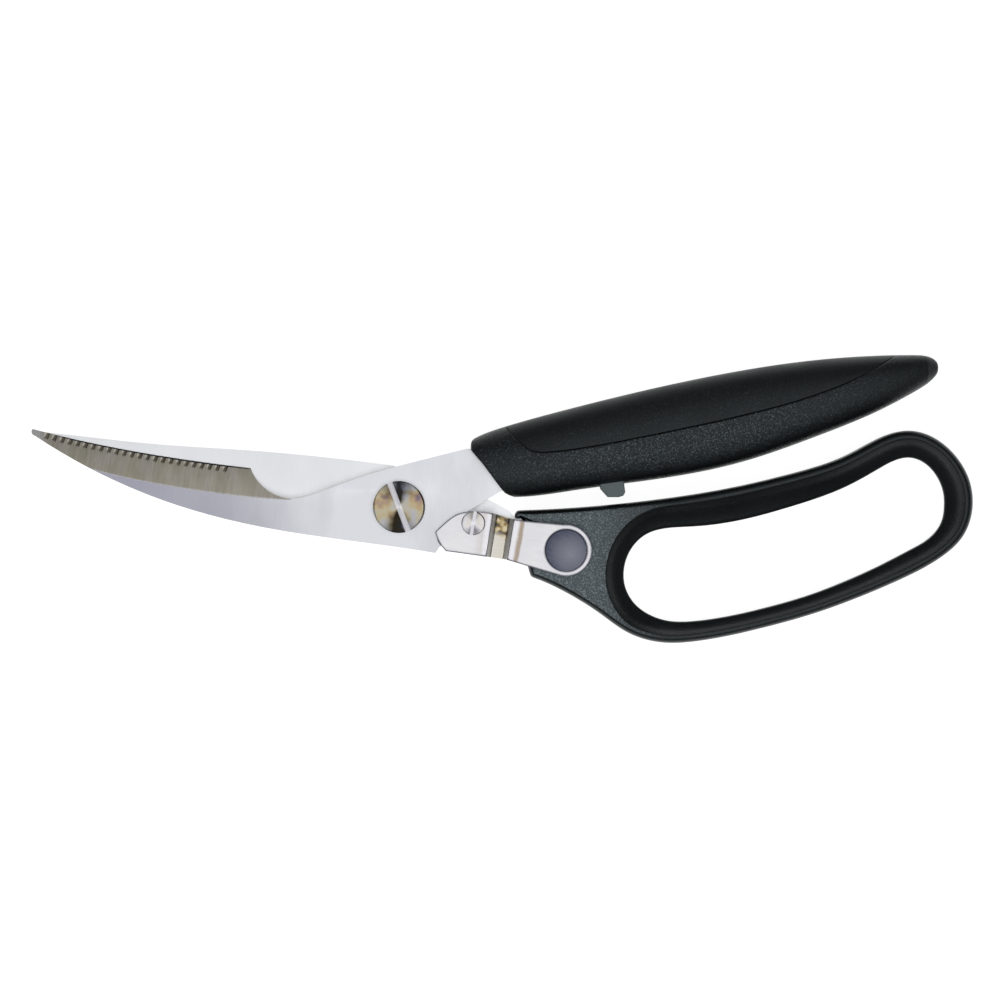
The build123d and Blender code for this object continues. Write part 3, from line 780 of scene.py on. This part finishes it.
def strap_bands(made, along, cloud):
    """Painted shade in the creases, painted highlights on the bends and a sepia band, all running across the
    strap.
    """
    bend_highlight = (0.74, 0.73, 0.76)
    sepia = (0.38, 0.32, 0.26)
    # painted shade in the valley's creases
    dark = (0.075, 0.070, 0.085)
    plain = (0.67, 0.67, 0.69)
    wavering = made.math("ADD", along, made.spread(cloud, 0.3, 0.7, -0.25 * MM, 0.25 * MM))
    return made.ramp(made.spread(wavering, -7 * MM, 7 * MM, 0.0, 1.0),
                     [(0.00, plain), (0.17, (0.60, 0.58, 0.58)), (0.23, bend_highlight), (0.320, bend_highlight),
                      (0.334, dark), (0.348, (0.62, 0.60, 0.56)), (0.663, (0.60, 0.57, 0.49)),
                      (0.677, dark), (0.691, bend_highlight), (0.80, bend_highlight), (0.85, sepia), (0.895, sepia),
                      (0.925, (0.66, 0.66, 0.70)), (1.0, plain)])


def valley_reflection(made, colour, across, up, cloud):
    """Painted reflection, dark with golden spots, at the upper end of the valley's floor."""
    sunk = made.spread(up, 9.3 * MM, 9.9 * MM, 1.0, 0.0)
    wavering = made.math("ADD", across, made.spread(cloud, 0.3, 0.7, -1.2 * MM, 1.2 * MM))
    upper_end = made.spread(wavering, -0.4 * MM, 1.4 * MM, 0.0, 1.0)
    # painted reflection in the sunk valley floor
    dark_gold_reflection = made.ramp(made.noise(620, detail=2.0),
                      [(0.40, (0.10, 0.085, 0.07)), (0.50, (0.36, 0.27, 0.12)), (0.62, (0.58, 0.50, 0.34))])
    return made.mix(made.times(sunk, upper_end), colour, dark_gold_reflection)


def strap_steel():
    """Bright stamped strap: rolled grain, painted highlights and shade across its bends, a painted shadow
    line round its edge, a painted reflection in the valley, and pale matt valley walls.
    """
    made = Material("lever_bright_steel", {"Metallic": 1.0, "Anisotropic": 0.2})
    grain = made.noise(1, made.shifted(scale=(120, 1800, 1800), turn=strap_lean), detail=3.0)
    cloud = made.noise(140, detail=3.0)
    colour = made.ramp(cloud, [(0.3, (0.640, 0.642, 0.680)), (0.7, (0.700, 0.702, 0.716))])
    along, across, up = made.split(made.shifted(centre=strap_centre, turn=strap_lean))
    off_centre = made.math("ABSOLUTE", along)
    near = made.spread(off_centre, 5.8 * MM, 6.8 * MM, 1.0, 0.0)
    colour = made.mix(near, colour, strap_bands(made, along, cloud))
    colour = valley_reflection(made, colour, across, up, cloud)
    # painted shadow: a dark line round the strap's raised edges
    edge_shade = made.times(made.near_edge(edge_shadow), made.spread(up, strap_low, strap_high, 0.0, 1.0))
    colour = made.mix(edge_shade, colour, (0.085, 0.085, 0.115, 1))
    colour = made.mix(1.0, colour, made.spread(grain, 0.3, 0.7, 0.96, 1.03), "MULTIPLY")
    normal_z = made.split(made.coordinates.outputs["Normal"])[2]
    # painted light: the valley walls are coloured pale and made less metallic, so they show lighter than
    # their steel would
    walls = made.times(made.spread(normal_z, 0.35, 0.85, 1.0, 0.0),
                       made.spread(off_centre, 3.4 * MM, 4.2 * MM, 1.0, 0.0),
                       made.spread(up, 9.2 * MM, 10.2 * MM, 0.35, 1.0))
    colour = made.mix(walls, colour, (0.80, 0.78, 0.75, 1))
    made.link(made.spread(walls, 0.0, 1.0, 1.0, 0.10), made.shader.inputs["Metallic"])
    made.bump(grain, 0.08, 0.02 * MM)
    return made.finish(colour, made.spread(grain, 0.3, 0.7, 0.18, 0.26))


def plain_steel(name, colour_low, colour_high, roughness):
    """Small drawn or pressed steel piece."""
    made = Material(name, {"Metallic": 1.0})
    cloud = made.noise(900, detail=3.0)
    colour = made.ramp(cloud, [(0.3, colour_low), (0.7, colour_high)])
    made.bump(cloud, 0.10, 0.02 * MM)
    return made.finish(colour, made.spread(cloud, 0.3, 0.7, roughness - 0.05, roughness + 0.05))


def soften_edges(name, width):
    """Welds a CAD piece's split corners and rounds its sharp edges a little."""
    piece = nodes[name]
    weld = piece.modifiers.new("weld", "WELD")
    weld.merge_threshold = 1e-6
    bevel = piece.modifiers.new("edges", "BEVEL")
    bevel.width = width
    bevel.segments = 2
    bevel.limit_method = "ANGLE"
    bevel.angle_limit = softened_angle
    bevel.miter_outer = "MITER_ARC"
    bevel.harden_normals = True


def paint(piece, material):
    """Gives one object one material."""
    slots = piece.data.materials
    if len(slots) == 0:
        slots.append(material)
    for slot in piece.material_slots:
        slot.material = material


def finishes():
    """Material of every piece, by the piece's name."""
    # painted reflections: golden, brown and blue-grey patches on the screw heads
    screw_reflection_tints = [(0.28, (0.17, 0.13, 0.17)), (0.40, (0.33, 0.25, 0.15)), (0.48, (0.35, 0.31, 0.21)),
                   (0.56, (0.33, 0.32, 0.30)), (0.72, (0.30, 0.32, 0.42))]
    lever_screw_reflection_tints = [(0.3, (0.33, 0.31, 0.38)), (0.5, (0.52, 0.51, 0.52)), (0.7, (0.44, 0.39, 0.28))]
    # Each plastic's second colour is its painted highlight on the grain; the loop's last pair is its painted
    # root glare.
    handle = moulded_plastic("black_grained_plastic", (0.0020, 0.0028, 0.0032), (0.160, 0.198, 0.214),
                             0.42 * MM, 0.85, 0.30, 0.42)
    loop = moulded_plastic("black_loop_plastic", (0.0030, 0.0038, 0.0042), (0.080, 0.096, 0.104),
                           0.42 * MM, 0.42, 0.30, 0.46, ((0.078, 0.097, 0.109), (0.340, 0.400, 0.430)))
    grip = moulded_plastic("black_smooth_grip", (0.0046, 0.0054, 0.0058), (0.030, 0.036, 0.039),
                           0.46 * MM, 0.40, 0.44, 0.40)
    # painted glare: the bumper is the handles' black plastic, coloured grey to stand for the glare on its
    # flat face
    bumper = moulded_plastic("bumper_plastic_painted_glare", (0.15, 0.18, 0.18), (0.28, 0.31, 0.31),
                             0.40 * MM, 0.35, 0.5)
    return {
        "front_blade": blade_steel("front_blade_steel", True),
        "rear_blade": blade_steel("rear_blade_steel", False),
        "pivot_screw": turned_steel("pivot_screw_steel", "pivot_screw", screw_reflection_tints,
                                    0.42 * MM, 0.30, 1.1 * MM, 0.08),
        "lever_screw": turned_steel("lever_screw_steel", "lever_screw", lever_screw_reflection_tints,
                                    0.30 * MM, 0.24, 0.6 * MM, 0.62),
        "thumb_button": brushed_pad(),
        "lock_lever": strap_steel(),
        "pivot_nut": plain_steel("nut_steel", (0.50, 0.50, 0.52), (0.62, 0.62, 0.64), 0.34),
        "stop_pin": plain_steel("pin_steel", (0.60, 0.60, 0.61), (0.70, 0.70, 0.71), 0.25),
        "lever_bush": plain_steel("bush_steel", (0.55, 0.55, 0.55), (0.66, 0.66, 0.66), 0.30),
        "spring_washer": plain_steel("washer_steel", (0.36, 0.36, 0.37), (0.46, 0.46, 0.47), 0.33),
        "lever_washer": plain_steel("thin_washer_steel", (0.62, 0.61, 0.58), (0.72, 0.71, 0.69), 0.28),
        "opening_spring_coil": plain_steel("spring_wire_steel", (0.30, 0.30, 0.32), (0.42, 0.42, 0.44),
                                           0.30),
        "handle_bumper": bumper,
        "loop_handle_moulding": loop,
        "bar_handle_moulding": handle,
        "bar_grip_insert": grip,
    }


def paint_all():
    for name, material in finishes().items():
        paint(bpy.data.objects[name], material)
    soften_edges("lock_lever", 0.20 * MM)
    soften_edges("handle_bumper", 0.35 * MM)
    soften_edges("rear_blade", 0.07 * MM)
    soften_edges("pivot_nut", 0.15 * MM)


# ---------------------------------------------------------------- studio
def make_camera():
    """Straight above, long lens, the shears filling most of the width."""
    fill = 0.942
    left, down = 0.53 * MM, 0.35 * MM
    blade_height = 10 * MM
    centre = (cad_low + cad_high) / 2
    length = cad_high.x - cad_low.x
    data = bpy.data.cameras.new("camera")
    data.lens = 200
    data.sensor_width = 36
    camera = bpy.data.objects.new("camera", data)
    bpy.context.scene.collection.objects.link(camera)
    distance = length / fill * data.lens / data.sensor_width
    camera.location = (centre.x - left, centre.y - down, blade_height + distance)
    bpy.context.scene.camera = camera


def area_light(name, place, target, width, depth, radiance, colour):
    """Soft box of even brightness that the camera doesn't see."""
    data = bpy.data.lights.new(name, "AREA")
    data.shape = "RECTANGLE"
    data.size = width
    data.size_y = depth
    data.energy = radiance * pi * width * depth
    data.color = colour
    light = bpy.data.objects.new(name, data)
    bpy.context.scene.collection.objects.link(light)
    light.location = place
    aim = Vector(target) - Vector(place)
    light.rotation_mode = "QUATERNION"
    light.rotation_quaternion = aim.to_track_quat("-Z", "Y")
    light.visible_camera = False


def make_floor():
    """Pale floor just under the shears."""
    half_size = 30.0
    gap = 0.05 * MM
    mesh = bpy.data.meshes.new("floor")
    corners = [(-half_size, -half_size, 0), (half_size, -half_size, 0),
               (half_size, half_size, 0), (-half_size, half_size, 0)]
    mesh.from_pydata(corners, [], [(0, 1, 2, 3)])
    floor = bpy.data.objects.new("floor", mesh)
    bpy.context.scene.collection.objects.link(floor)
    floor.location.z = -gap
    made = Material("pale_floor", {"Roughness": 0.9})
    made.shader.inputs["Emission Color"].default_value = (1.0, 1.0, 1.0, 1)
    made.shader.inputs["Emission Strength"].default_value = 0.90
    pale = made.ramp(made.noise(3.0), [(0.3, (0.44, 0.44, 0.44)), (0.7, (0.46, 0.46, 0.46))])
    paint(floor, made.finish(pale))


def make_studio():
    """Soft white light from above, over a pale floor."""
    world = bpy.data.worlds.new("studio")
    bpy.context.scene.world = world
    world.use_nodes = True
    sky = world.node_tree.nodes["Background"]
    sky.inputs["Color"].default_value = (0.96, 0.98, 1.0, 1)
    sky.inputs["Strength"].default_value = 0.16
    area_light("overhead", (0.10, 0.02, 1.15), (0.0, 0.0, 0.0), 1.1, 1.1, 0.95, (1.0, 0.99, 0.99))
    area_light("key", (0.02, -0.50, 0.85), (0.0, 0.0, 0.0), 0.8, 0.5, 1.5, (1.0, 0.99, 0.97))
    make_floor()
    bpy.context.scene.view_settings.view_transform = "Standard"


make_camera()
loop_handle()
bar_handle()
opening_spring()
paint_all()
make_studio()
